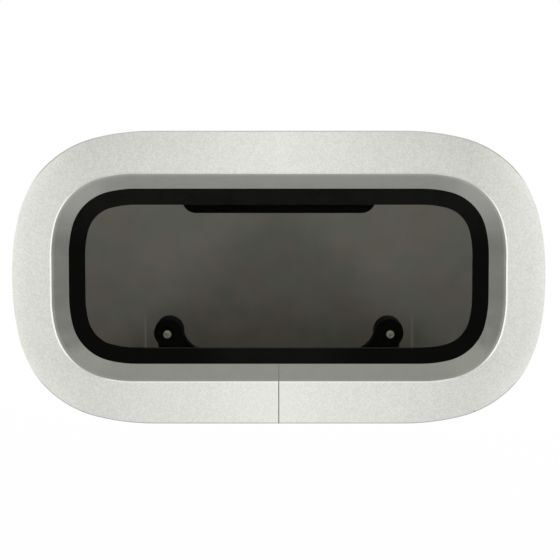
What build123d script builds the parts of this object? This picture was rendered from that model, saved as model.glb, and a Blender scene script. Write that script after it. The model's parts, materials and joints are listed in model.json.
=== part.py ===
from build123d import *
from math import cos, radians, sin
import os

# An opening boat portlight, seen from outboard by looking along +Y.
# X runs across its width, +Y inboard and +Z up, in millimetres.
# The origin is the middle of the plane of the flange's back face, which bears on the hull.

# Flange and the crest where it turns into the slope
flange_width = 450.0
flange_height = 247.6
side_band = 33.1
top_band = 35.5
flange_thickness = 3.5
flange_corner_ends = 200.0
flange_corner_middle = 89.5
flange_edge = 1.2
crest_corner_ends = 112.0
crest_corner_middle = 55.0
corner_end_angle = 14.0
least_half_run = 1.0
crest_edge = 0.7

# Sealant groove in the flange's back, and the butt seam of the bent section
groove_from_edge = 8.0
groove_width = 3.0
groove_depth = 0.8
seam_width = 0.4
seam_depth = 0.4

# Bent section: slope, lip and spigot
slope_run = 13.4
slope_drop = 9.8
lip_width = 4.2
lip_thickness = 2.5
spigot_inset = 3.5
spigot_wall = 3.0
rim_wall = 5.0
rim_length = 10.0
rim_lead = 2.0
spigot_depth = 38.0

# Rubber seal on the lip
seal_band = 14.15
seal_flap = 1.3
seal_nose_drop = 0.9
seal_cover = 2.0
seal_web = 2.0
seal_back = 2.0
seal_back_width = 3.6
seal_fit = 0.1
seal_nose_edge = 0.5

# Pane
lens_thickness = 8.0
lens_edge = 0.5
lens_side_gap = 0.4
lens_seat_gap = 0.2

# Hinge: a leaf on the pane, a leaf under the spigot's top wall, and their pin
hinge_length = 165.6
hinge_corner = 12.0
lens_leaf_reach = 14.7
leaf_thickness = 3.5
knuckle_radius = 4.5
knuckle_count = 5
knuckle_run = 140.0
knuckle_gap = 0.4
pin_radius = 2.5
pin_clearance = 0.05
pin_head_radius = 3.6
pin_head_length = 1.2
pin_seat_gap = 0.4
pin_below_lens_top = 1.7
frame_leaf_length = 150.0
frame_leaf_thickness = 3.0
frame_leaf_width = 11.0
frame_leaf_stem = 5.0
frame_leaf_corner = 3.0
frame_leaf_to_rim = 0.5

# Latches
latch_from_side = 76.6
latch_from_bottom = 18.25
latch_radius = 12.5
base_radius = 12.1
base_thickness = 7.2
base_edge = 0.6
washer_radius = 9.0
washer_thickness = 0.8
lever_thickness = 8.7
lever_edge = 1.0
lever_run_gap = 0.1
lever_reach = 23.6
lever_heel = 7.0
lever_heel_start = 12.2
lever_heel_round = 6.0
handle_length = 55.0
handle_height = 6.5
handle_tip_round = 3.0
handle_root = 28.0
tab_length = 16.0
tab_height = 3.2
tab_width = 3.8
flare_start = (12.3, -2.0)
flare_middle = (16.9, -10.4)
spindle_radius = 2.5
spindle_clearance = 0.05
spindle_hole_clearance = 0.3
spindle_head_radius = 3.45
spindle_head_height = 2.0
spindle_head_edge = 0.8
socket_across_flats = 3.0
socket_depth = 1.4
spindle_tail = 0.4
end_washer_radius = 6.0
end_washer_thickness = 0.8
nut_across_flats = 8.0
nut_height = 4.0
nut_clearance = 0.02

# Keepers on the spigot's bottom wall, which the levers' feet lock behind
keeper_width = 20.0
keeper_offset = 3.0
keeper_tongue = 4.0
keeper_foot_thickness = 2.5
keeper_foot_front = 6.0
keeper_overlap = 3.2
keeper_bite_gap = 0.3
keeper_ramp = 1.6

# Trim ring over the spigot's end, inside the cabin
ring_thickness = 3.0
ring_outer = 18.0
ring_inner = 10.2
ring_collar = 2.5
ring_collar_depth = 4.0
ring_edge = 0.8
ring_hole_radius = 1.8
ring_hole_spacing = 70.0

# Heights and depths worked out from the sizes above
crest_width = flange_width - 2 * side_band
crest_height = flange_height - 2 * top_band
flange_front = -flange_thickness
slope_foot = flange_front + slope_drop
lip_front = slope_foot + seal_flap
lip_back = lip_front + lip_thickness
lip_tip = slope_run + lip_width
web_inner = lip_tip + seal_fit + seal_web
lens_inset = web_inner + lens_side_gap
lens_front = slope_foot + seal_cover + lens_seat_gap
lens_back = lens_front + lens_thickness
lens_width = crest_width - 2 * lens_inset
lens_height = crest_height - 2 * lens_inset
wall_inset = spigot_inset + spigot_wall
wall_half_height = crest_height / 2 - wall_inset
rim_inset = spigot_inset + rim_wall
rim_front = spigot_depth - rim_length
pin_y = lens_back + leaf_thickness + pin_seat_gap + knuckle_radius
pin_z = lens_height / 2 - pin_below_lens_top
latch_x = lens_width / 2 - latch_from_side
latch_z = latch_from_bottom - lens_height / 2
base_back = lens_back + base_thickness
washer_back = base_back + washer_thickness
lever_front = washer_back + lever_run_gap
lever_back = lever_front + lever_thickness
end_washer_front = lever_back + lever_run_gap
end_washer_back = end_washer_front + end_washer_thickness
nut_back = end_washer_back + nut_height
keeper_top = latch_z - lever_reach + keeper_overlap
tongue_back = lever_front - keeper_bite_gap
tongue_front = tongue_back - keeper_tongue
ring_back = spigot_depth + ring_thickness
screw_inset = spigot_inset + rim_wall / 2
spindle_hole = spindle_radius + spindle_hole_clearance

os.makedirs("parts", exist_ok=True)


def facing(y):
    """The plane at depth y, seen from outboard, from which shapes are extruded outboard."""
    return Plane.XZ.offset(-y)


def bent_outline(width, height, ends, middle, inset, plane):
    """Closed run from the bottom's middle, moved inward by inset.

    Each corner eases in and out with a wide arc on both sides of a tighter one.
    Sides too short for the corners keep a short straight run, and their radii shrink.
    """
    turn = radians(corner_end_angle)
    full_reach = ends * (1 + sin(turn) - cos(turn)) + middle * (cos(turn) - sin(turn))
    reach = min(full_reach, min(width, height) / 2 - least_half_run)
    share = reach / full_reach
    half_run = width / 2 - reach
    side_run = height - 2 * reach
    corner = (
        (ends * share - inset, corner_end_angle),
        (middle * share - inset, 90 - 2 * corner_end_angle),
        (ends * share - inset, corner_end_angle),
    )
    with BuildLine(plane) as outline:
        run = Line((0, inset - height / 2), (half_run, inset - height / 2))
        for length in (side_run, 2 * half_run, side_run, half_run):
            for radius, angle in corner:
                run = JernArc(run @ 1, run % 1, radius, angle)
            run = Line(run @ 1, run @ 1 + (run % 1) * length)
    return outline.wire()


def crest_outline(inset, plane=Plane.XY):
    """The crest's outline moved inward."""
    return bent_outline(
        crest_width, crest_height, crest_corner_ends, crest_corner_middle, inset, plane
    )


def flange_outline(inset):
    """The flange's outline moved inward."""
    return bent_outline(
        flange_width, flange_height, flange_corner_ends, flange_corner_middle, inset, Plane.XY
    )


def section_plane():
    """Plane of the bent section at the seam: outward from the crest, then inboard."""
    return Plane(origin=(0, 0, -crest_height / 2), x_dir=(0, 0, -1), z_dir=(1, 0, 0))


def along_bottom(side, reach):
    """X of a point that lies reach towards the window's middle from a latch's pivot."""
    return side * (latch_x - reach)


def save(piece, name):
    """Label a finished piece and write its file."""
    piece.part.label = name
    export_step(piece.part, f"parts/{name}.step")


path = crest_outline(0, Plane.XZ)
ring_holes = [
    (x * ring_hole_spacing, z * (crest_height / 2 - screw_inset))
    for x in (-1.5, -0.5, 0.5, 1.5)
    for z in (-1, 1)
] + [(x * (crest_width / 2 - screw_inset), 0) for x in (-1, 1)]

# Outer frame: a flat flange with a bent slope, lip and spigot behind it
with BuildPart() as outer_frame:
    with BuildSketch(facing(0)):
        make_face(flange_outline(0).edges())
        make_face(crest_outline(-flange_thickness).edges(), mode=Mode.SUBTRACT)
    extrude(amount=flange_thickness)
    with BuildSketch(section_plane()) as frame_section:
        with BuildLine():
            Polyline(
                (flange_thickness, flange_front),
                (0, flange_front),
                (-slope_run, slope_foot),
                (-slope_run, lip_front),
                (-lip_tip, lip_front),
                (-lip_tip, lip_back),
                (-wall_inset, lip_back),
                (-wall_inset, rim_front - rim_lead),
                (-rim_inset, rim_front),
                (-rim_inset, spigot_depth),
                (-spigot_inset, spigot_depth),
                (-spigot_inset, 0),
                (flange_thickness, 0),
                close=True,
            )
        make_face()
        crest = frame_section.vertices().sort_by_distance((0, flange_front))[0]
        chamfer(crest, crest_edge)
    sweep(path=path)
    front_face = outer_frame.faces().filter_by(Axis.Y).sort_by(Axis.Y)[0]
    chamfer(front_face.outer_wire().edges(), flange_edge)
    with BuildSketch(facing(0)):
        make_face(flange_outline(groove_from_edge).edges())
        make_face(flange_outline(groove_from_edge + groove_width).edges(), mode=Mode.SUBTRACT)
    extrude(amount=groove_depth, mode=Mode.SUBTRACT)
    # The seam is a hairline groove over the flange and down the slope
    with BuildSketch(Plane.YZ):
        with BuildLine():
            Polyline(
                (flange_front, -flange_height / 2),
                (flange_front, -crest_height / 2),
                (slope_foot, slope_run - crest_height / 2),
                (slope_foot + seam_depth, slope_run - crest_height / 2),
                (slope_foot + seam_depth, slope_run - crest_height / 2 - seam_depth),
                (flange_front + seam_depth, -crest_height / 2 - seam_depth),
                (flange_front + seam_depth, -flange_height / 2),
                close=True,
            )
        make_face()
    extrude(amount=seam_width / 2, both=True, mode=Mode.SUBTRACT)
save(outer_frame, "outer_frame")

# Rubber seal: pushed on the lip, with a flap over the pane's edge
with BuildPart() as lip_seal:
    with BuildSketch(section_plane()) as seal_section:
        with BuildLine():
            Polyline(
                (-slope_run - seal_fit, slope_foot),
                (-slope_run - seal_band, slope_foot + seal_nose_drop),
                (-slope_run - seal_band + seal_cover / 2, slope_foot + seal_cover),
                (-web_inner, slope_foot + seal_cover),
                (-web_inner, lip_back + seal_fit + seal_back),
                (-web_inner + seal_web + seal_back_width, lip_back + seal_fit + seal_back),
                (-web_inner + seal_web + seal_back_width, lip_back + seal_fit),
                (-lip_tip - seal_fit, lip_back + seal_fit),
                (-lip_tip - seal_fit, lip_front - seal_fit),
                (-slope_run - seal_fit, lip_front - seal_fit),
                close=True,
            )
        make_face()
        nose = seal_section.vertices().sort_by_distance(
            (-slope_run - seal_band, slope_foot + seal_nose_drop)
        )[0]
        chamfer(nose, seal_nose_edge)
    sweep(path=path)
save(lip_seal, "lip_seal")

# Pane of smoked acrylic
with BuildPart() as lens:
    with BuildSketch(facing(lens_back)):
        make_face(crest_outline(lens_inset).edges())
        with Locations((-latch_x, latch_z), (latch_x, latch_z)):
            Circle(spindle_hole, mode=Mode.SUBTRACT)
    extrude(amount=lens_thickness)
    rims = [face.outer_wire().edges() for face in lens.faces().filter_by(Axis.Y)]
    chamfer(rims[0] + rims[1], lens_edge)
save(lens, "lens")

# Hinge leaves share the barrel: knuckles take turns along the pin
knuckle_pitch = knuckle_run / knuckle_count
knuckle_places = [
    -knuckle_run / 2 + knuckle_pitch * (index + 0.5) for index in range(knuckle_count)
]


def knuckle_plane(x):
    """Plane of a knuckle's section at its +X end."""
    return Plane.YZ.offset(x + (knuckle_pitch - knuckle_gap) / 2)


with BuildPart() as hinge_lens_leaf:
    leaf_bottom = lens_height / 2 - lens_leaf_reach
    leaf_top = pin_z - knuckle_gap
    with BuildSketch(facing(lens_back + leaf_thickness)) as leaf_sketch:
        with Locations((0, (leaf_top + leaf_bottom) / 2)):
            Rectangle(hinge_length, leaf_top - leaf_bottom)
        low_corners = leaf_sketch.vertices().group_by(Axis.Y)[0]
        fillet(low_corners, min(hinge_corner, leaf_top - leaf_bottom - knuckle_gap))
    extrude(amount=leaf_thickness)
    for place in knuckle_places[1::2]:
        with BuildSketch(knuckle_plane(place)):
            with Locations((pin_y, pin_z)):
                Circle(knuckle_radius)
            with BuildLine():
                Polyline(
                    (lens_back, pin_z - knuckle_radius),
                    (pin_y, pin_z - knuckle_radius),
                    (pin_y, pin_z),
                    (lens_back, pin_z),
                    close=True,
                )
            make_face()
            with Locations((pin_y, pin_z)):
                Circle(pin_radius + pin_clearance, mode=Mode.SUBTRACT)
        extrude(amount=-(knuckle_pitch - knuckle_gap))
save(hinge_lens_leaf, "hinge_lens_leaf")

with BuildPart() as hinge_frame_leaf:
    leaf_back = rim_front - rim_lead - frame_leaf_to_rim
    with BuildSketch(Plane.XY.offset(wall_half_height)):
        with Locations((0, leaf_back - frame_leaf_width / 2)):
            RectangleRounded(frame_leaf_length, frame_leaf_width, frame_leaf_corner)
    extrude(amount=-frame_leaf_thickness)
    for place in knuckle_places[0::2]:
        with BuildSketch(knuckle_plane(place)):
            with Locations((pin_y, pin_z)):
                Circle(knuckle_radius)
            with Locations((leaf_back - frame_leaf_stem / 2, (pin_z + wall_half_height) / 2)):
                Rectangle(frame_leaf_stem, wall_half_height - pin_z)
            with Locations((pin_y, pin_z)):
                Circle(pin_radius + pin_clearance, mode=Mode.SUBTRACT)
        extrude(amount=-(knuckle_pitch - knuckle_gap))
save(hinge_frame_leaf, "hinge_frame_leaf")

with BuildPart() as hinge_pin:
    half_pin = knuckle_run / 2 + knuckle_gap
    with BuildSketch(Plane.YZ.offset(-half_pin)):
        with Locations((pin_y, pin_z)):
            Circle(pin_radius)
    extrude(amount=2 * half_pin)
    for end, direction in ((half_pin, 1), (-half_pin, -1)):
        with BuildSketch(Plane.YZ.offset(end)):
            with Locations((pin_y, pin_z)):
                Circle(pin_head_radius)
        extrude(amount=direction * pin_head_length)
save(hinge_pin, "hinge_pin")


def disc(name, side, front, back, radius, edge=0.0):
    """A round piece on a latch's spindle, between two depths."""
    with BuildPart() as piece:
        with BuildSketch(facing(back)):
            with Locations((side * latch_x, latch_z)):
                Circle(radius)
                Circle(spindle_hole, mode=Mode.SUBTRACT)
        extrude(amount=back - front)
        if edge:
            chamfer(piece.faces().sort_by(Axis.Y)[-1].outer_wire().edges(), edge)
    save(piece, name)


def spindle(name, side):
    """Bolt with a low hexagon-socket head outside the pane; its shank carries the latch."""
    with BuildPart() as piece:
        with BuildSketch(facing(nut_back + spindle_tail)):
            with Locations((side * latch_x, latch_z)):
                Circle(spindle_radius)
        extrude(amount=nut_back + spindle_tail - lens_front)
        with BuildSketch(facing(lens_front)):
            with Locations((side * latch_x, latch_z)):
                Circle(spindle_head_radius)
        extrude(amount=spindle_head_height)
        rim = piece.edges().filter_by(GeomType.CIRCLE).sort_by(Axis.Y)[0]
        chamfer(rim, spindle_head_edge)
        with BuildSketch(facing(lens_front - spindle_head_height)):
            with Locations((side * latch_x, latch_z)):
                RegularPolygon(socket_across_flats / 2, 6, major_radius=False)
        extrude(amount=-socket_depth, mode=Mode.SUBTRACT)
    save(piece, name)


def lever(name, side):
    """Latch lever: a hub, a flared foot that locks behind the keeper, and a handle."""
    def spot(reach, height):
        return along_bottom(side, reach), latch_z + height

    with BuildPart() as piece:
        with BuildSketch(facing(lever_back)) as outline:
            with Locations((side * latch_x, latch_z)):
                Circle(latch_radius)
            with BuildLine():
                start = spot(-lever_heel_start, 0)
                heel = spot(-lever_heel, -lever_reach)
                tip_low = spot(handle_length, -lever_reach)
                tip_high = spot(handle_length, handle_height - lever_reach)
                root = spot(handle_root, handle_height - lever_reach)
                Polyline(start, heel, tip_low, tip_high, root)
                ThreePointArc(root, spot(*flare_middle), spot(*flare_start))
                Polyline(spot(*flare_start), (side * latch_x, latch_z), start)
            make_face()
            fillet(outline.vertices().sort_by_distance(heel)[0], lever_heel_round)
            for tip in (tip_low, tip_high):
                fillet(outline.vertices().sort_by_distance(tip)[0], handle_tip_round)
        extrude(amount=lever_thickness)
        back_face = piece.faces().filter_by(Axis.Y).sort_by(Axis.Y)[-1]
        chamfer(back_face.outer_wire().edges(), lever_edge)
        # A tab at the handle's end stands inboard for the fingers
        tab_middle = handle_length - tab_length / 2 - lever_edge
        with BuildSketch(facing(lever_back + tab_height)):
            with Locations(spot(tab_middle, handle_height / 2 - lever_reach)):
                SlotOverall(tab_length, tab_width)
        extrude(amount=tab_height + lever_edge)
        with BuildSketch(facing(lever_back)):
            with Locations((side * latch_x, latch_z)):
                Circle(spindle_radius + spindle_clearance)
        extrude(amount=lever_thickness, mode=Mode.SUBTRACT)
    save(piece, name)


def nut(name, side):
    """Locking nut on the spindle's inboard end."""
    with BuildPart() as piece:
        with BuildSketch(facing(nut_back)):
            with Locations((side * latch_x, latch_z)):
                RegularPolygon(nut_across_flats / 2, 6, major_radius=False)
                Circle(spindle_radius + nut_clearance, mode=Mode.SUBTRACT)
        extrude(amount=nut_height)
    save(piece, name)


def keeper(name, side):
    """Bracket on the spigot's bottom wall with a tongue that the lever's foot locks behind."""
    with BuildPart() as piece:
        middle = along_bottom(side, keeper_offset)
        with BuildSketch(Plane.YZ.offset(middle)):
            with BuildLine():
                Polyline(
                    (tongue_front - keeper_foot_front, -wall_half_height),
                    (tongue_back, -wall_half_height),
                    (tongue_back, keeper_top),
                    (tongue_front, keeper_top),
                    (tongue_front, keeper_foot_thickness - wall_half_height),
                    (tongue_front - keeper_foot_front, keeper_foot_thickness - wall_half_height),
                    close=True,
                )
            make_face()
        extrude(amount=keeper_width / 2, both=True)
        lead_in = piece.edges().filter_by(Axis.Z).group_by(Axis.Y)[-1].sort_by(Axis.X)
        chamfer(lead_in[0] if side > 0 else lead_in[-1], keeper_ramp)
    save(piece, name)


for side, hand in ((-1, "left"), (1, "right")):
    disc(f"latch_base_{hand}", side, lens_back, base_back, base_radius, base_edge)
    disc(f"latch_washer_{hand}", side, base_back, washer_back, washer_radius)
    disc(f"latch_end_washer_{hand}", side, end_washer_front, end_washer_back, end_washer_radius)
    lever(f"latch_lever_{hand}", side)
    spindle(f"latch_spindle_{hand}", side)
    nut(f"latch_nut_{hand}", side)
    keeper(f"keeper_{hand}", side)

# Trim ring: covers the spigot's end and bears on the cabin lining with its collar
with BuildPart() as inner_trim_ring:
    with BuildSketch(facing(ring_back)):
        make_face(crest_outline(-ring_outer).edges())
        make_face(crest_outline(ring_inner).edges(), mode=Mode.SUBTRACT)
    extrude(amount=ring_thickness)
    with BuildSketch(facing(spigot_depth)):
        make_face(crest_outline(-ring_outer).edges())
        make_face(crest_outline(ring_collar - ring_outer).edges(), mode=Mode.SUBTRACT)
    extrude(amount=ring_collar_depth)
    cabin_face = inner_trim_ring.faces().filter_by(Axis.Y).sort_by(Axis.Y)[-1]
    chamfer(cabin_face.edges(), ring_edge)
    with BuildSketch(facing(ring_back)):
        with Locations(*ring_holes):
            Circle(ring_hole_radius)
    extrude(amount=ring_thickness, mode=Mode.SUBTRACT)
save(inner_trim_ring, "inner_trim_ring")
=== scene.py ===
import json
import math

import bmesh
import bpy
from mathutils import Matrix, Vector


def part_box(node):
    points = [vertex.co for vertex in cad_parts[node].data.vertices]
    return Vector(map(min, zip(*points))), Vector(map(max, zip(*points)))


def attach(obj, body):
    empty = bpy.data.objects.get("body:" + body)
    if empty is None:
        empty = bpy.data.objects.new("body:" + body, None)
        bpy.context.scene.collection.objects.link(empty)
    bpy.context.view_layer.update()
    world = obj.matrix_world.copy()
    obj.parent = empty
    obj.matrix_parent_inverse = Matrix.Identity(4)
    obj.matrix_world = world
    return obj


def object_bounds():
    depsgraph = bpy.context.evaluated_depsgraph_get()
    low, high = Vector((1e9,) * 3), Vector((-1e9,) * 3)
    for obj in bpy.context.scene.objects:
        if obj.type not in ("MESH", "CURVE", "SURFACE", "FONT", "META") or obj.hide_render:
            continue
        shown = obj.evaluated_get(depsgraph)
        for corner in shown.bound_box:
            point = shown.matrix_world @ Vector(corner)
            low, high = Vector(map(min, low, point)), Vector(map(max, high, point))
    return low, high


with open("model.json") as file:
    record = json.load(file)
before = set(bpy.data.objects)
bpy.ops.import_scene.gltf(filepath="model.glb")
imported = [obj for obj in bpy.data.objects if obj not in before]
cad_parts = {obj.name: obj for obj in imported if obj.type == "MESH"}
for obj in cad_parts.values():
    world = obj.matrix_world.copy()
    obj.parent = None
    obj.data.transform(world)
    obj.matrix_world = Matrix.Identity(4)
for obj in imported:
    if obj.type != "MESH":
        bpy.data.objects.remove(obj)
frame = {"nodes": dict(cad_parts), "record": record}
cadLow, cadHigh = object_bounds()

mm = 0.001
nodes = frame["nodes"]
hands = ("left", "right")
print("frame loaded")


# Shader wires: a socket that takes part in Python sums, and one call for every other node
class Wire:
    def __init__(self, tree, socket):
        self.tree = tree
        self.socket = socket

    def math(self, operation, *others):
        terms = dict(enumerate((self, *others)))
        return addNode(self.tree, "ShaderNodeMath", {"operation": operation}, terms)

    def __add__(self, other): return self.math("ADD", other)
    def __radd__(self, other): return self.math("ADD", other)
    def __sub__(self, other): return self.math("SUBTRACT", other)
    def __mul__(self, other): return self.math("MULTIPLY", other)
    def __truediv__(self, other): return self.math("DIVIDE", other)
    def __abs__(self): return self.math("ABSOLUTE")
    def most(self, other): return self.math("MAXIMUM", other)
    def above(self, other): return self.math("GREATER_THAN", other)
    def root(self): return self.math("SQRT")

    def __rsub__(self, other):
        return addNode(self.tree, "ShaderNodeMath", {"operation": "SUBTRACT"}, {0: other, 1: self})

    def ramp(self, low, high, fromValue=0.0, toValue=1.0):
        return addNode(self.tree, "ShaderNodeMapRange", {"interpolation_type": "SMOOTHSTEP"},
                       {0: self, 1: low, 2: high, 3: fromValue, 4: toValue})

    # a ramp that falls, and the two stretches of a noise's values that its blobs show best in
    def fade(self, low, high): return self.ramp(low, high, 1.0, 0.0)
    def soft(self, fromValue, toValue): return self.ramp(0.3, 0.7, fromValue, toValue)
    def crisp(self, fromValue, toValue): return self.ramp(0.35, 0.65, fromValue, toValue)


def addNode(tree, kind, settings=None, sockets=None, out=0):
    node = tree.nodes.new(kind)
    for key, value in (settings or {}).items():
        setattr(node, key, value)
    for key, value in (sockets or {}).items():
        if isinstance(value, Wire):
            tree.links.new(value.socket, node.inputs[key])
        else:
            node.inputs[key].default_value = value
    return Wire(tree, node.outputs[out]) if node.outputs else node


def mixColours(tree, mask, first, second, blend="MIX"):
    return addNode(tree, "ShaderNodeMix", {"data_type": "RGBA", "blend_type": blend},
                   {0: mask, 6: first, 7: second}, out=2)


def multiplied(tree, first, second):
    return mixColours(tree, 1.0, first, second, "MULTIPLY")


def shade(colour, factor):
    return tuple(min(1.0, value * factor) for value in colour[:3]) + (1.0,)


def shadePair(colour, spread):
    return shade(colour, 1 - spread), shade(colour, 1 + spread)


def startFinish(name):
    material = bpy.data.materials.new(name)
    material.use_nodes = True
    tree = material.node_tree
    tree.nodes.clear()
    place = addNode(tree, "ShaderNodeTexCoord", out=3)
    return material, tree, place


def closeFinish(tree, sockets):
    surface = addNode(tree, "ShaderNodeBsdfPrincipled", None, sockets)
    addNode(tree, "ShaderNodeOutputMaterial", None, {0: surface})


def grain(tree, place, size, detail=3.0, roughness=0.6):
    # noise whose blobs are about `size` metres across
    return addNode(tree, "ShaderNodeTexNoise", None,
                   {"Vector": place, "Scale": 1 / size, "Detail": detail, "Roughness": roughness})


def bump(tree, height, strength, distance):
    sockets = {"Strength": strength, "Distance": distance, "Height": height}
    return addNode(tree, "ShaderNodeBump", None, sockets)


def splitPlace(tree, place):
    return [addNode(tree, "ShaderNodeSeparateXYZ", None, {0: place}, out=index) for index in range(3)]


def length(first, second):
    return (first * first + second * second).root()


# The bent frame's outline and section, as its solid has them
frameSizes = {
    "crestHalfWidth": 191.9 * mm,
    "crestHalfHeight": 88.3 * mm,
    "crestEnds": 112.0 * mm,
    "crestMiddle": 55.0 * mm,
    "endTurn": math.radians(14),
    "faceDepth": -3.5 * mm,
    "slopeRun": 13.4 * mm,
    "slopeDrop": 9.8 * mm,
}


def crestDistance(x, z):
    # how far a point lies outside the crest's outline, negative inside: every corner is
    # a wide arc, a tighter one and a wide one, and each holds its own sector
    wide, tight = frameSizes["crestEnds"], frameSizes["crestMiddle"]
    across, along = math.sin(frameSizes["endTurn"]), math.cos(frameSizes["endTurn"])
    reach = wide * (1 + across - along) + tight * (along - across)
    halfWidth, halfHeight = frameSizes["crestHalfWidth"], frameSizes["crestHalfHeight"]
    sideX, sideZ = abs(x) - (halfWidth - wide), abs(z) - (halfHeight - reach)
    topX, topZ = abs(x) - (halfWidth - reach), abs(z) - (halfHeight - wide)
    middleX, middleZ = sideX - (wide - tight) * along, sideZ - (wide - tight) * across
    byTop = length(topX.most(0.0), topZ) - wide
    bySide = length(sideX, sideZ.most(0.0)) - wide
    byMiddle = length(middleX, middleZ) - tight
    pastTop = (topX * along - topZ * across).above(0.0)
    pastSide = (sideZ * along - sideX * across).above(0.0)
    nearTop = byTop + (byMiddle - byTop) * pastTop
    return bySide + (nearTop - bySide) * pastSide


# Blasted and anodised aluminium: grain sizes, the tone each grain adds, and its roughness
aluminium = {
    "face": (0.655, 0.661, 0.618, 1.0),
    "faceSpread": 0.2,
    "speckle": 0.45 * mm,
    "fine": 0.18 * mm,
    "blast": 1.35 * mm,
    "cloud": 60 * mm,
    "rubbed": 9 * mm,
    "blastTone": (0.31, 0.59),
    "speckleTone": (0.0, 0.06),
    "cloudTone": (0.0, 0.04),
    "roughness": 0.46,
    "roughnessRange": (0.43, 0.50),
    "speckleShare": 0.6,
    "bumpStrength": 0.35,
    "bumpDepth": 0.02 * mm,
}


def blastedFinish(name, isFrame):
    material, tree, place = startFinish(name)
    speckle = grain(tree, place, aluminium["speckle"])
    fine = grain(tree, place, aluminium["fine"], 2.0)
    blast = grain(tree, place, aluminium["blast"], 1.0)
    cloud = grain(tree, place, aluminium["cloud"], 2.0)
    rubbed = grain(tree, place, aluminium["rubbed"], 4.0)
    tone = blast.crisp(*aluminium["blastTone"]) + speckle.soft(*aluminium["speckleTone"])
    tone = tone + cloud.crisp(*aluminium["cloudTone"])
    roughness = rubbed.soft(*aluminium["roughnessRange"])
    height = speckle * aluminium["speckleShare"] + fine * (1 - aluminium["speckleShare"])
    if isFrame:
        x, y, z = splitPlace(tree, place)
        distance = crestDistance(x, z)
        # painted light: the flange face's brighter and darker stretches
        middle = (1 - abs(x) / faceLightLook["middleReach"]).most(0.0)
        tone = tone + paintedFaceLight(x, z, distance, middle) * faceLightLook["strength"]
    colour = mixColours(tree, tone, *shadePair(aluminium["face"], aluminium["faceSpread"]))
    if isFrame:
        # machining grain, plus painted shade towards the middle of the long runs
        grooves = blast.crisp(*slopeLook["blastTone"]) + middle * slopeLook["middleShade"]
        colour, roughness = addSlope(tree, (x, y, z), distance, grooves, colour, roughness)
        colour, roughness = addCrestHighlight(tree, (x, y, z), distance, colour, roughness)
        colour = paintEdgeLight(tree, (x, y, z), distance, colour)
        colour = addPits(tree, (x, y, z), colour)
        colour = addSeam(tree, (x, y, z), colour)
    closeFinish(tree, {
        "Base Color": colour, "Metallic": 1.0, "Roughness": roughness,
        "Normal": bump(tree, height, aluminium["bumpStrength"], aluminium["bumpDepth"]),
    })
    return material


# Painted light on the flange: it is painted brighter at the middle of its runs and at its ends than in its
# corners, lighter along the bottom, with a painted highlight on the ends' outer rim and painted shade in the
# upper corners
faceLightLook = {
    "strength": 2.5, "ground": -0.115, "middle": 0.235, "end": 0.115,
    "low": 0.03, "lowMiddle": 0.04, "lowCorner": 0.045, "endRim": 0.10, "highCorner": -0.05,
    "middleReach": 160 * mm, "endBand": (155 * mm, 210 * mm),
    "lowBand": (-100 * mm, -60 * mm), "highBand": (40 * mm, 100 * mm),
    "outerBand": (5 * mm, 33 * mm), "rimBand": (18 * mm, 34 * mm),
}


def paintedFaceLight(x, z, distance, middle):
    atEnd = abs(x).ramp(*faceLightLook["endBand"])
    corner = (1 - atEnd) * (1 - middle)
    lowLift = faceLightLook["low"] + middle * faceLightLook["lowMiddle"] + corner * faceLightLook["lowCorner"]
    rimLift = distance.ramp(*faceLightLook["rimBand"]) * atEnd * faceLightLook["endRim"]
    highLift = distance.ramp(*faceLightLook["outerBand"]) * z.ramp(*faceLightLook["highBand"]) * corner
    tone = middle * faceLightLook["middle"] + atEnd * faceLightLook["end"] + faceLightLook["ground"]
    return tone + z.fade(*faceLightLook["lowBand"]) * lowLift + rimLift + highLift * faceLightLook["highCorner"]


# The slope is smoother, and darker partly by its finish and partly by painted reflection: its colour is
# painted with the reflection of each run and corner, and goes round with its turn
slopeLook = {
    "side": (0.146, 0.148, 0.135, 1.0),
    "topCorner": (0.343, 0.347, 0.322, 1.0),
    "top": (0.298, 0.301, 0.280, 1.0),
    "lowSide": (0.134, 0.136, 0.123, 1.0),
    "bottomCorner": (0.250, 0.254, 0.222, 1.0),
    "bottom": (0.212, 0.215, 0.190, 1.0),
    "bendRadius": 63.0 * mm,
    "leastReach": 0.001 * mm,
    "highTurn": (-0.05, 0.8),
    "lowTurn": (0.0, 0.32),
    "lowCornerTurn": (0.52, 0.81),
    "straightTurn": (0.86, 1.0),
    "halvesMeet": (-5 * mm, 5 * mm),
    "fromCrest": (-1.1 * mm, -0.2 * mm),
    "skin": (0.5 * mm, 1.0 * mm),
    "streak": 0.5 * mm,
    "streakTone": (0.0, 0.25),
    "blastTone": (0.0, 0.35),
    "middleShade": 0.4,
    "groove": (0.91, 0.91, 0.91, 1.0),
    "rise": (1.0, 1.0, 0.95, 1.0),
    "riseBand": (-3.5 * mm, -0.5 * mm),
    "riseHeight": (-75 * mm, -45 * mm),
    "riseShare": (0.02, 0.11),
    "roughness": 0.34,
}


def paintedSlopeReflection(tree, x, z):
    # painted reflection on the slope, a colour for each run and corner; turn is 0 on the sides' straights and
    # 1 on the long ones
    bend = slopeLook["bendRadius"]
    outX = (abs(x) - (frameSizes["crestHalfWidth"] - bend)).most(0.0)
    outZ = (abs(z) - (frameSizes["crestHalfHeight"] - bend)).most(0.0)
    turn = outZ / (length(outX, outZ) + slopeLook["leastReach"])
    straight = turn.ramp(*slopeLook["straightTurn"])
    high = mixColours(tree, turn.ramp(*slopeLook["highTurn"]), slopeLook["side"], slopeLook["topCorner"])
    high = mixColours(tree, straight, high, slopeLook["top"])
    low = mixColours(tree, turn.ramp(*slopeLook["lowTurn"]), slopeLook["side"], slopeLook["lowSide"])
    low = mixColours(tree, turn.ramp(*slopeLook["lowCornerTurn"]), low, slopeLook["bottomCorner"])
    low = mixColours(tree, straight, low, slopeLook["bottom"])
    return mixColours(tree, z.ramp(*slopeLook["halvesMeet"]), low, high)


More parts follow.
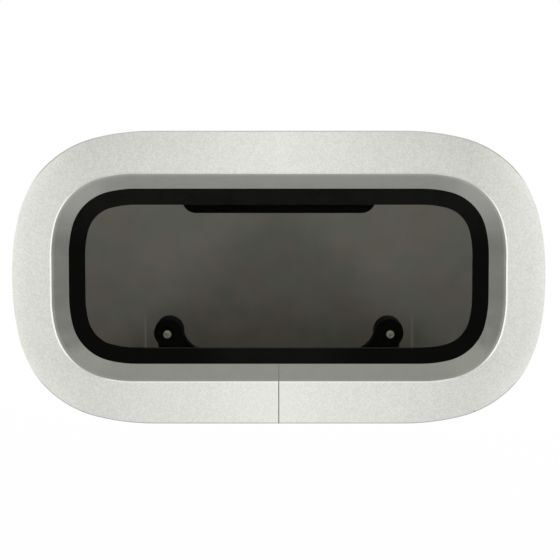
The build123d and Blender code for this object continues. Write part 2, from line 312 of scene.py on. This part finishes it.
def addSlope(tree, place, distance, grooves, colour, roughness):
    x, y, z = place
    surface = frameSizes["faceDepth"] - distance * (frameSizes["slopeDrop"] / frameSizes["slopeRun"])
    onSlope = distance.fade(*slopeLook["fromCrest"]) * (y - surface).fade(*slopeLook["skin"])
    streaks = addNode(tree, "ShaderNodeTexNoise", {"noise_dimensions": "1D"},
                      {"W": distance, "Scale": 1 / slopeLook["streak"], "Detail": 2.0})
    tint = paintedSlopeReflection(tree, x, z)
    # machining streaks, and painted shade towards the middle, darken the painted reflection
    grooves = streaks.soft(*slopeLook["streakTone"]) + grooves
    tint = mixColours(tree, grooves, multiplied(tree, tint, slopeLook["groove"]), tint)
    # painted reflection: paler along the slope's upper edge by the crest, least on the bottom run
    rise = distance.ramp(*slopeLook["riseBand"]) * z.ramp(*slopeLook["riseHeight"], *slopeLook["riseShare"])
    tint = mixColours(tree, rise, tint, slopeLook["rise"])
    roughness = roughness + onSlope * (slopeLook["roughness"] - aluminium["roughness"])
    return mixColours(tree, onSlope, colour, tint), roughness


# The crest is burnished at the ends and faintly along the bottom: smoother there, and painted near-white as a
# painted highlight
crestLook = {
    "crestHighlight": (0.95, 0.95, 0.92, 1.0), "roughness": 0.2,
    "innerBand": (-0.75 * mm, -0.55 * mm), "outerBand": (0.3 * mm, 0.6 * mm), "depth": (0.0, 0.5 * mm),
    "endBand": (165 * mm, 184 * mm), "bottomBand": (-87 * mm, -84 * mm), "bottomShare": 0.35,
}


def addCrestHighlight(tree, place, distance, colour, roughness):
    x, y, z = place
    along = abs(x).ramp(*crestLook["endBand"]).most(
        z.ramp(*crestLook["bottomBand"], crestLook["bottomShare"], 0.0))
    shine = distance.ramp(*crestLook["innerBand"]) * distance.fade(*crestLook["outerBand"])
    shine = shine * y.fade(*crestLook["depth"]) * along
    roughness = roughness + shine * (crestLook["roughness"] - aluminium["roughness"])
    return mixColours(tree, shine, colour, crestLook["crestHighlight"]), roughness


# The flange's outer edge has a painted highlight at the ends and painted shade above and below
edgeLook = {
    # the bright colour is a painted highlight at the ends, the dull one painted shade above and below
    "edgeHighlight": (0.98, 0.98, 0.96, 1.0), "dull": (0.46, 0.46, 0.43, 1.0),
    "band": (24 * mm, 25 * mm), "depth": (0.04 * mm, 0.15 * mm), "endBand": (195 * mm, 215 * mm),
}


def paintEdgeLight(tree, place, distance, colour):
    x, y, z = place
    onEdge = distance.ramp(*edgeLook["band"]) * (y - frameSizes["faceDepth"]).ramp(*edgeLook["depth"])
    edge = mixColours(tree, abs(x).ramp(*edgeLook["endBand"]), edgeLook["dull"], edgeLook["edgeHighlight"])
    return mixColours(tree, onEdge, colour, edge)


# Two small dark pits near the flange's bottom corners, longer than they are high
pits = {
    "colour": (0.20, 0.20, 0.18, 1.0), "x": 165.2 * mm, "z": -113.0 * mm, "stretch": 0.45,
    "size": (0.25 * mm, 0.5 * mm), "depth": (-2.5 * mm, -2.0 * mm),
}


def addPits(tree, place, colour):
    x, y, z = place
    away = length((abs(x) - pits["x"]) * pits["stretch"], z - pits["z"])
    return mixColours(tree, away.fade(*pits["size"]) * y.fade(*pits["depth"]), colour, pits["colour"])


# The shadow in the butt seam at the bottom middle
seam = {
    "colour": (0.16, 0.16, 0.15, 1.0), "half": (0.32 * mm, 0.52 * mm),
    "top": (-74 * mm, -73 * mm), "depth": (7.2 * mm, 7.4 * mm),
}


def addSeam(tree, place, colour):
    x, y, z = place
    inSeam = abs(x).fade(*seam["half"]) * z.fade(*seam["top"]) * y.fade(*seam["depth"])
    return mixColours(tree, inSeam, colour, seam["colour"])


# Rubber: matt and dusty; paler along the top and at the lower band's middle, with a painted highlight on its
# nose
rubber = {
    "colour": (0.0017, 0.0017, 0.0014, 1.0),
    "topColour": (0.0072, 0.0073, 0.0062, 1.0),
    "dust": (0.003, 0.003, 0.0025, 1.0),
    "nose": (0.030, 0.030, 0.027, 1.0),
    "topBand": (20 * mm, 65 * mm),
    "lowBand": (-60 * mm, -50 * mm),
    "lowMiddle": (30 * mm, 75 * mm),
    "lowShare": 0.65,
    "dustBand": (0.45, 0.75, 0.0, 0.5),
    "noseBand": (-61.8 * mm, -61.3 * mm),
    "noseTop": (0.0, 1.0 * mm),
    "noseMiddle": (100 * mm, 125 * mm),
    "poreSize": 0.5 * mm,
    "dustSize": 14 * mm,
    "roughnessRange": (0.56, 0.68),
    "specular": 0.03,
    "bumpStrength": 0.4,
    "bumpDepth": 0.04 * mm,
}


def rubberFinish():
    material, tree, place = startFinish("sealRubber")
    pores = grain(tree, place, rubber["poreSize"])
    dust = grain(tree, place, rubber["dustSize"], 4.0)
    x, y, z = splitPlace(tree, place)
    colour = mixColours(tree, z.ramp(*rubber["topBand"]), rubber["colour"], rubber["topColour"])
    lowMiddle = abs(x).fade(*rubber["lowMiddle"]) * z.fade(*rubber["lowBand"]) * rubber["lowShare"]
    colour = mixColours(tree, lowMiddle, colour, rubber["topColour"])
    colour = mixColours(tree, dust.ramp(*rubber["dustBand"]), colour, rubber["dust"])
    # painted highlight on the seal's nose at the bottom middle
    nose = z.ramp(*rubber["noseBand"]) * z.fade(*rubber["noseTop"]) * abs(x).fade(*rubber["noseMiddle"])
    colour = mixColours(tree, nose, colour, rubber["nose"])
    closeFinish(tree, {
        "Base Color": colour,
        "Roughness": dust.soft(*rubber["roughnessRange"]),
        "Specular IOR Level": rubber["specular"],
        "Normal": bump(tree, pores, rubber["bumpStrength"], rubber["bumpDepth"]),
    })
    return material


# Smoked acrylic: clear, polished and tinted. Painted shade: a darker arch rises from the bottom
# between the latches, with a crown above it, and the ends are a little darker too; a thin streak on each side
# is a painted reflection
acrylic = {
    "tint": (0.0971, 0.0938, 0.0816, 1.0),
    "shadedTint": (0.0356, 0.0340, 0.0271, 1.0),
    "greenCast": (0.955, 1.0, 0.985, 1.0),
    "brownCast": (1.045, 1.0, 0.985, 1.0),
    "fall": (-95 * mm, 60 * mm, 1.15, 0.0),
    "archLean": 1.1,
    "arch": (30 * mm, 100 * mm, 1.0, 0.52),
    "crownLean": 0.9,
    "crown": (30 * mm, 105 * mm, 0.30, 0.0),
    "crownHeight": (-30 * mm, 35 * mm),
    "ends": (95 * mm, 135 * mm, 0.0, 0.08),
    "hazeSize": 18 * mm,
    "hazeTone": (-0.07, 0.07),
    "fleckSize": 1.4 * mm,
    "fleckTone": (-0.08, 0.08),
    "patchSize": 26 * mm,
    "patchEdge": (0.4, 0.6),
    "streakX": 114.3 * mm,
    "streakWidth": (0.4 * mm, 1.0 * mm),
    "streakFall": (-40 * mm, -26 * mm),
    "streakShare": 0.5,
    "scuffSize": 3 * mm,
    "scuffs": (0.55, 0.8, 0.01, 0.04),
    "index": 1.49,
    "specular": 0.02,
    "specularTint": (0.05, 0.05, 0.045, 1.0),
}


def acrylicFinish():
    material, tree, place = startFinish("smokedAcrylic")
    x, y, z = splitPlace(tree, place)
    haze = grain(tree, place, acrylic["hazeSize"])
    patches = grain(tree, place, acrylic["patchSize"], 1.0)
    fleck = grain(tree, place, acrylic["fleckSize"], 1.0)
    scuffs = grain(tree, place, acrylic["scuffSize"], 5.0)
    # painted shade: the darker arch, crown, lower pane and ends
    arch = (abs(x) + z * acrylic["archLean"]).ramp(*acrylic["arch"])
    crown = (abs(x) + z * acrylic["crownLean"]).ramp(*acrylic["crown"]) * z.ramp(*acrylic["crownHeight"])
    tone = z.ramp(*acrylic["fall"]) * arch + crown + abs(x).ramp(*acrylic["ends"])
    tone = tone + haze.soft(*acrylic["hazeTone"]) + fleck.crisp(*acrylic["fleckTone"])
    tint = mixColours(tree, tone, acrylic["tint"], acrylic["shadedTint"])
    hue = mixColours(tree, patches.ramp(*acrylic["patchEdge"]), acrylic["greenCast"], acrylic["brownCast"])
    tint = multiplied(tree, tint, hue)
    # painted reflection: a thin paler streak on each side, low on the pane
    streak = abs(abs(x) - acrylic["streakX"]).fade(*acrylic["streakWidth"])
    streak = streak * z.fade(*acrylic["streakFall"]) * acrylic["streakShare"]
    tint = mixColours(tree, streak, tint, acrylic["tint"])
    closeFinish(tree, {
        "Base Color": tint,
        "Roughness": scuffs.ramp(*acrylic["scuffs"]),
        "IOR": acrylic["index"],
        "Transmission Weight": 1.0,
        "Specular IOR Level": acrylic["specular"],
        "Specular Tint": acrylic["specularTint"],
    })
    return material


# Black mouldings: hinge leaves, latch pieces and keepers
moulding = {
    "colour": (0.0018, 0.0018, 0.0016, 1.0),
    "worn": (0.005, 0.005, 0.0045, 1.0),
    "wearSize": 5 * mm,
    "wear": (0.5, 0.8, 0.0, 0.6),
    "cellSize": 0.55 * mm,
    "roughnessRange": (0.43, 0.55),
    "specular": 0.06,
    "bumpStrength": 0.25,
    "bumpDepth": 0.03 * mm,
}


def mouldingFinish():
    material, tree, place = startFinish("blackMoulding")
    cells = addNode(tree, "ShaderNodeTexVoronoi", None, {"Vector": place, "Scale": 1 / moulding["cellSize"]})
    wear = grain(tree, place, moulding["wearSize"], 5.0)
    closeFinish(tree, {
        "Base Color": mixColours(tree, wear.ramp(*moulding["wear"]), moulding["colour"], moulding["worn"]),
        "Roughness": wear.soft(*moulding["roughnessRange"]),
        "Specular IOR Level": moulding["specular"],
        "Normal": bump(tree, cells, moulding["bumpStrength"], moulding["bumpDepth"]),
    })
    return material


# Stainless fastenings: turned and slightly warm; the bolt heads seen on the pane are a darker copy, with
# painted shade
turning = {
    "tarnishSize": 1.6 * mm, "tarnish": (0.35, 0.75), "scratchSize": 0.25 * mm,
    "bumpStrength": 0.2, "bumpDepth": 0.01 * mm,
}
steel = {
    "colour": (0.60, 0.585, 0.54, 1.0),
    "dull": (0.42, 0.41, 0.375, 1.0),
    "roughnessRange": (0.25, 0.42),
}
# a painted-shade copy of the stainless for the bolt heads on the pane
shadedBoltSteel = {
    "colour": (0.170, 0.170, 0.140, 1.0),
    "dull": (0.105, 0.105, 0.086, 1.0),
    "roughnessRange": (0.33, 0.50),
    # socket: painted shade in the bolt's recess
    "socket": (0.105, 0.105, 0.066, 1.0),
    "socketEdge": (1.6625 * mm, 1.8375 * mm),
    "socketDepth": (0.05 * mm, 0.2 * mm),
}


def steelFinish(name, facts):
    material, tree, place = startFinish(name)
    tarnish = grain(tree, place, turning["tarnishSize"], 4.0)
    scratches = grain(tree, place, turning["scratchSize"], 2.0)
    colour = mixColours(tree, tarnish.ramp(*turning["tarnish"]), facts["colour"], facts["dull"])
    if facts is shadedBoltSteel:
        colour = addSocketShade(tree, place, colour)
    closeFinish(tree, {
        "Base Color": colour, "Metallic": 1.0,
        "Roughness": tarnish.soft(*facts["roughnessRange"]),
        "Normal": bump(tree, scratches, turning["bumpStrength"], turning["bumpDepth"]),
    })
    return material


def addSocketShade(tree, place, colour):
    # painted shade in the bolt's socket; both bolts have the same socket, so one side's box serves the two
    x, y, z = splitPlace(tree, place)
    low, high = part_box("latch_spindle_right")
    away = length(abs(x) - (low.x + high.x) / 2, z - (low.z + high.z) / 2)
    inSocket = away.fade(*shadedBoltSteel["socketEdge"]) * (y - low.y).ramp(*shadedBoltSteel["socketDepth"])
    return mixColours(tree, inSocket, colour, shadedBoltSteel["socket"])


finishes = {
    "anodised": blastedFinish("blastedAluminium", False),
    "frameFace": blastedFinish("blastedFrame", True),
    "seal_rubber": rubberFinish(),
    "smoked_acrylic": acrylicFinish(),
    "black_moulding": mouldingFinish(),
    "stainless": steelFinish("stainless", steel),
    "shadedBoltHead": steelFinish("shadedStainless", shadedBoltSteel),
}
special = {"outer_frame": "frameFace", "latch_spindle_left": "shadedBoltHead", "latch_spindle_right": "shadedBoltHead"}
for row in frame["record"]["subparts"]:
    node = row["node"]
    nodes[node].data.materials.clear()
    nodes[node].data.materials.append(finishes[special.get(node, row["material_slot"])])
print("finishes ready")


# Screws with cross recesses; x, y and z of each head's seat come from the solids
def placed(seat, outward):
    # matrix that puts a head built on XY, with its top up, on its seat
    return Matrix.Translation(seat) @ Vector(outward).to_track_quat("Z", "Y").to_matrix().to_4x4()


def crossHead(made, facts, matrix):
    # a panned head: its flat top takes the cross recess, its side comes down in steps
    top = bmesh.ops.create_circle(
        made, cap_ends=True, segments=facts["segments"], radius=facts["topRadius"])["verts"]
    seen = set(made.verts) - set(top)
    for reach in (facts["slotWidth"] / 2, facts["slotLength"] / 2):
        for direction in ((1, 0, 0), (0, 1, 0)):
            for side in (-1, 1):
                parts = (*made.verts, *made.edges, *made.faces)
                own = [part for part in parts if not touches(part, seen)]
                bmesh.ops.bisect_plane(
                    made, geom=own, plane_co=Vector(direction) * side * reach, plane_no=direction)
    own = [face for face in made.faces if not touches(face, seen)]
    rim = [edge for edge in made.edges if edge.is_boundary and not touches(edge, seen)]
    for radius, drop in facts["steps"]:
        rim = bmesh.ops.extrude_edge_only(made, edges=rim)["geom"]
        ring = [part for part in rim if isinstance(part, bmesh.types.BMVert)]
        rim = [part for part in rim if isinstance(part, bmesh.types.BMEdge)]
        for vertex in ring:
            flat = vertex.co.xy.normalized() * radius
            vertex.co = (flat.x, flat.y, -drop)
    slot = [face for face in own if inCross(face.calc_center_median(), facts)]
    sunk = bmesh.ops.extrude_face_region(made, geom=slot)["geom"]
    bmesh.ops.delete(made, geom=[face for face in slot if face.is_valid], context="FACES_ONLY")
    floor = [part for part in sunk if isinstance(part, bmesh.types.BMVert)]
    bmesh.ops.translate(made, vec=(0, 0, -facts["slotDepth"]), verts=floor)
    fresh = [vertex for vertex in made.verts if vertex not in seen]
    bmesh.ops.translate(made, vec=(0, 0, facts["height"]), verts=fresh)
    bmesh.ops.transform(made, matrix=matrix, verts=fresh)


def touches(part, seen):
    if isinstance(part, bmesh.types.BMVert):
        return part in seen
    return any(vertex in seen for vertex in part.verts)


def inCross(middle, facts):
    across, along = sorted((abs(middle.x), abs(middle.y)))
    return across < facts["slotWidth"] / 2 and along < facts["slotLength"] / 2


def addScrews(name, facts, seats):
    made = bmesh.new()
    for seat, outward in seats:
        crossHead(made, facts, placed(seat, outward))
    bmesh.ops.recalc_face_normals(made, faces=made.faces)
    mesh = bpy.data.meshes.new(name)
    made.to_mesh(mesh)
    made.free()
    mesh.materials.append(finishes["stainless"])
    piece = bpy.data.objects.new(name, mesh)
    bpy.context.collection.objects.link(piece)
    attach(piece, "frame")


# Panned screws through the trim ring, on the holes' own pitch
ringScrews = {
    "segments": 24, "topRadius": 2.0 * mm, "height": 2.1 * mm,
    "slotWidth": 0.8 * mm, "slotLength": 3.0 * mm, "slotDepth": 1.1 * mm,
    "steps": ((2.8 * mm, 0.35 * mm), (3.2 * mm, 0.9 * mm), (3.3 * mm, 2.1 * mm)),
    "pitch": 70 * mm, "fromOutline": 6.0 * mm,
}
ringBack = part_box("inner_trim_ring")[1].y
rowZ = frameSizes["crestHalfHeight"] - ringScrews["fromOutline"]
endX = frameSizes["crestHalfWidth"] - ringScrews["fromOutline"]
ringSeats = [(step * ringScrews["pitch"], side * rowZ) for step in (-1.5, -0.5, 0.5, 1.5) for side in (-1, 1)]
ringSeats += [(side * endX, 0) for side in (-1, 1)]
addScrews("trim_ring_screws", ringScrews, [(Vector((x, ringBack, z)), (0, 1, 0)) for x, z in ringSeats])

# Small screws: six in the pane's leaf, four in the frame's leaf and two in each keeper's foot
smallScrews = {
    "segments": 20, "topRadius": 1.4 * mm, "height": 1.2 * mm,
    "slotWidth": 0.6 * mm, "slotLength": 2.1 * mm, "slotDepth": 0.7 * mm,
    "steps": ((2.0 * mm, 0.25 * mm), (2.4 * mm, 0.7 * mm), (2.5 * mm, 1.2 * mm)),
}
hingeSizes = {
    "paneLeafThickness": 3.5 * mm, "paneScrewRow": 4.2 * mm, "knucklePitch": 28 * mm,
    "frameLeafThickness": 3.0 * mm, "frameScrewRow": 5.5 * mm,
    "frameScrewX": (-36 * mm, -20 * mm, 20 * mm, 36 * mm),
}
keeperSizes = {"footThickness": 2.5 * mm, "fromFront": 3.0 * mm, "halfPitch": 6 * mm}

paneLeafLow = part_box("hinge_lens_leaf")[0]
rowY = paneLeafLow.y + hingeSizes["paneLeafThickness"]
rowZ = paneLeafLow.z + hingeSizes["paneScrewRow"]
addScrews("pane_leaf_screws", smallScrews, [
    (Vector((step * hingeSizes["knucklePitch"], rowY, rowZ)), (0, 1, 0))
    for step in (-2.5, -1.5, -0.5, 0.5, 1.5, 2.5)])

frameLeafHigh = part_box("hinge_frame_leaf")[1]
rowY = frameLeafHigh.y - hingeSizes["frameScrewRow"]
rowZ = frameLeafHigh.z - hingeSizes["frameLeafThickness"]
addScrews("frame_leaf_screws", smallScrews, [
    (Vector((x, rowY, rowZ)), (0, 0, -1)) for x in hingeSizes["frameScrewX"]])

for hand in hands:
    low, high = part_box(f"keeper_{hand}")
    rowY, rowZ = low.y + keeperSizes["fromFront"], low.z + keeperSizes["footThickness"]
    addScrews(f"keeper_screws_{hand}", smallScrews, [
        (Vector(((low.x + high.x) / 2 + side * keeperSizes["halfPitch"], rowY, rowZ)), (0, 0, 1))
        for side in (-1, 1)])
print("screws placed")


# Stage: a pale floor well below the hung frame, fading out into the white studio
stage = {
    "floorDrop": 0.20,
    "floorRadius": 3.0,
    "floorSegments": 96,
    "floorColour": (0.86, 0.86, 0.86, 1.0),
    "dappleSize": 0.2,
    "dappleSpread": 0.01,
    "glow": 0.97,
    "fadeOut": (0.5, 1.6),
}


def isShown(tree):
    light = tree.nodes.new("ShaderNodeLightPath")
    names = ("Is Camera Ray", "Is Glossy Ray", "Is Transmission Ray")
    seen, glossy, through = [Wire(tree, light.outputs[name]) for name in names]
    return seen.most(glossy).most(through)


def makeFloor():
    mesh = bpy.data.meshes.new("floor")
    made = bmesh.new()
    bmesh.ops.create_circle(
        made, cap_ends=True, segments=stage["floorSegments"], radius=stage["floorRadius"])
    bmesh.ops.translate(made, vec=(0, 0, cadLow.z - stage["floorDrop"]), verts=made.verts)
    made.to_mesh(mesh)
    made.free()
    floor = bpy.data.objects.new("floor", mesh)
    bpy.context.collection.objects.link(floor)
    material, tree, place = startFinish("paleFloor")
    x, y, z = splitPlace(tree, place)
    dapple = grain(tree, place, stage["dappleSize"])
    paint = mixColours(tree, dapple, *shadePair(stage["floorColour"], stage["dappleSpread"]))
    lit = addNode(tree, "ShaderNodeBsdfDiffuse", None, {"Color": paint})
    glow = addNode(tree, "ShaderNodeEmission", None, {"Strength": 1.0})
    shown = addNode(tree, "ShaderNodeMixShader", None, {0: isShown(tree) * stage["glow"], 1: lit, 2: glow})
    clear = addNode(tree, "ShaderNodeBsdfTransparent")
    away = length(x, y).ramp(*stage["fadeOut"])
    faded = addNode(tree, "ShaderNodeMixShader", None, {0: away, 1: shown, 2: clear})
    addNode(tree, "ShaderNodeOutputMaterial", None, {0: faded})
    mesh.materials.append(material)


# World: plain white where it is seen, and a fainter, slightly cool fill on the object
studio = {"shown": (1, 1, 1, 1), "fill": (0.97, 0.985, 1.0, 1), "fillStrength": 0.55}


def makeWorld():
    world = bpy.data.worlds.new("studio")
    world.use_nodes = True
    tree = world.node_tree
    tree.nodes.clear()
    shown = addNode(tree, "ShaderNodeBackground", None, {"Color": studio["shown"], "Strength": 1.0})
    fill = addNode(tree, "ShaderNodeBackground", None,
                   {"Color": studio["fill"], "Strength": studio["fillStrength"]})
    both = addNode(tree, "ShaderNodeMixShader", None, {0: isShown(tree), 1: fill, 2: shown})
    addNode(tree, "ShaderNodeOutputWorld", None, {0: both})
    bpy.context.scene.world = world


# Lamps: four soft boxes that all point at the frame's middle
lamps = {
    "leftBox": {"place": (-1.15, -1.0, 0.35), "size": (0.5, 1.4), "power": 3.0},
    "rightBox": {"place": (1.15, -1.0, 0.35), "size": (0.5, 1.4), "power": 3.0},
    "topBox": {"place": (0.0, -0.5, 1.5), "size": (1.6, 0.8), "power": 3.0},
    "backBox": {"place": (0.3, 1.6, 0.9), "size": (1.2, 0.8), "power": 10.0},
}


def makeLamps():
    for name, facts in lamps.items():
        data = bpy.data.lights.new(name, "AREA")
        data.shape = "RECTANGLE"
        data.size, data.size_y = facts["size"]
        data.energy = facts["power"]
        lamp = bpy.data.objects.new(name, data)
        lamp.location = facts["place"]
        lamp.rotation_euler = (-Vector(facts["place"])).to_track_quat("-Z", "Y").to_euler()
        bpy.context.collection.objects.link(lamp)


# Camera: square picture of 560 points, standing a little above the frame's middle
camera = {
    "distance": 0.800,
    "height": 0.1178,
    "tiltDown": 2.4,
    "sensorWidth": 36.0,
    "focalPoints": 957.5,
    "pictureSize": 560.0,
    "axisPoint": (278.8, 178.0),
}


def makeCamera():
    data = bpy.data.cameras.new("camera")
    data.sensor_width = camera["sensorWidth"]
    data.lens = camera["focalPoints"] / camera["pictureSize"] * camera["sensorWidth"]
    middle = camera["pictureSize"] / 2
    data.shift_x = (middle - camera["axisPoint"][0]) / camera["pictureSize"]
    data.shift_y = (camera["axisPoint"][1] - middle) / camera["pictureSize"]
    shot = bpy.data.objects.new("camera", data)
    shot.location = (0, frameSizes["faceDepth"] - camera["distance"], camera["height"])
    shot.rotation_euler = (math.radians(90 - camera["tiltDown"]), 0, 0)
    bpy.context.collection.objects.link(shot)
    bpy.context.scene.camera = shot


makeFloor()
makeWorld()
makeLamps()
makeCamera()
bpy.context.scene.view_settings.view_transform = "Standard"
print("stage and camera ready")
